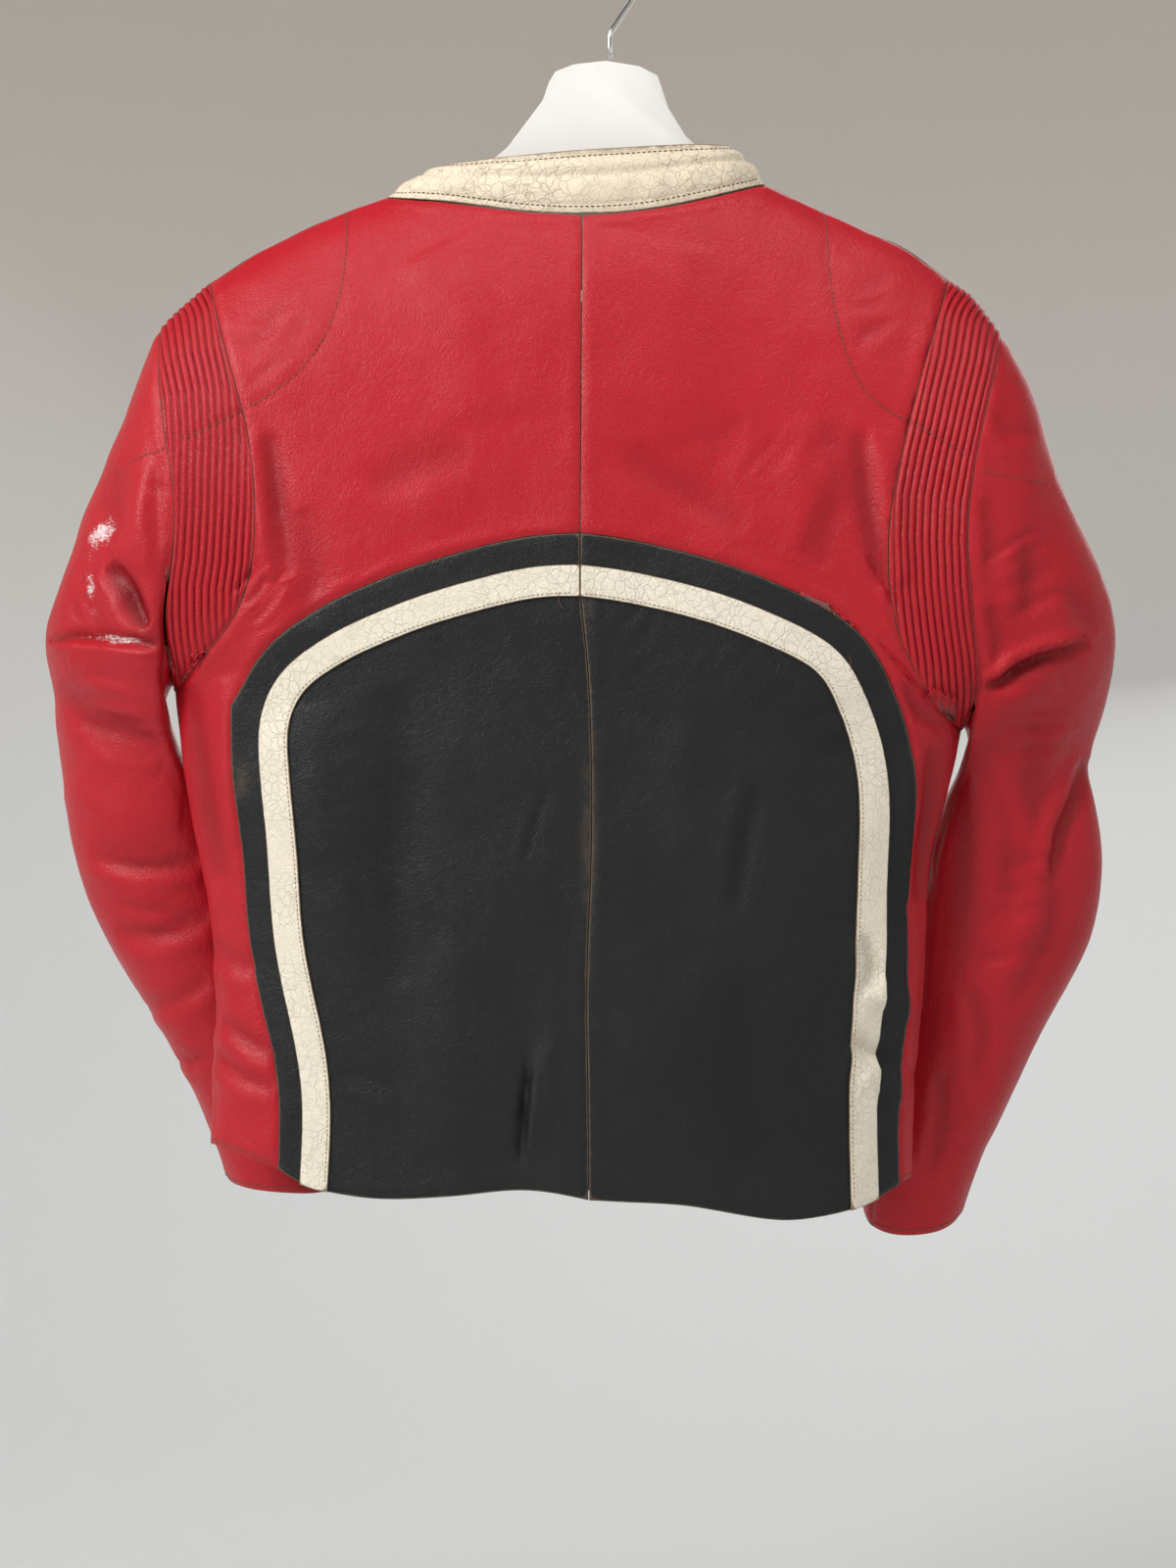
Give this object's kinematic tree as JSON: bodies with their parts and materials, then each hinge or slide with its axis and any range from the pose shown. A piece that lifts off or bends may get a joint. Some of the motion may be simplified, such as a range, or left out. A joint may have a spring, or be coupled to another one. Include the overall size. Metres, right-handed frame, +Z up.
{
  "type": "leather motorcycle jacket",
  "caption": "Short leather motorcycle jacket with a stand collar, ribbed stretch panels, a black arched back panel with an off-white stripe, a front zip and a board hanger.",
  "frame": {"origin": "inner top of the hanger's hook, where a rail bears on it", "axes": "+Z up, the jacket's back faces -Y, and +X is the wearer's right side"},
  "size_m": [0.6987, 0.1814, 0.8153],
  "materials": {
    "red_leather": "semi-gloss, worn",
    "black_leather": "semi-gloss, worn",
    "cream_leather": "matt, cracked",
    "stripe_leather": "satin",
    "zip_metal": "satin",
    "zip_tape": "matt",
    "hanger_paint": "satin white paint",
    "hook_chrome": "polished"
  },
  "bodies": {
    "jacket": {"collar": "cream_leather", "back_red_left": "red_leather", "back_red_right": "red_leather", "back_black_left": "black_leather", "back_black_right": "black_leather", "stripe_left": "stripe_leather", "stripe_right": "stripe_leather", "stretch_left": "red_leather", "stretch_right": "red_leather", "front_left": "red_leather", "front_right": "red_leather", "front_yoke_left": "black_leather", "front_yoke_right": "black_leather", "sleeve_top_left": "red_leather", "sleeve_top_right": "red_leather", "sleeve_under_left": "red_leather", "sleeve_under_right": "red_leather", "zip_tape": "zip_tape", "zip_chain": "zip_metal", "zip_slider": "zip_metal", "hanger_board": "hanger_paint", "hanger_hook": "hook_chrome"},
    "pull_tab": {"zip_pull": "zip_metal"}
  },
  "joints": [
    {"name": "pull_hinge", "type": "hinge", "parent": "jacket", "child": "pull_tab", "pos_m": [-0.0165, 0.0532, -0.22777], "axis": [1, 0, 0], "range_deg": [0, 150]}
  ]
}
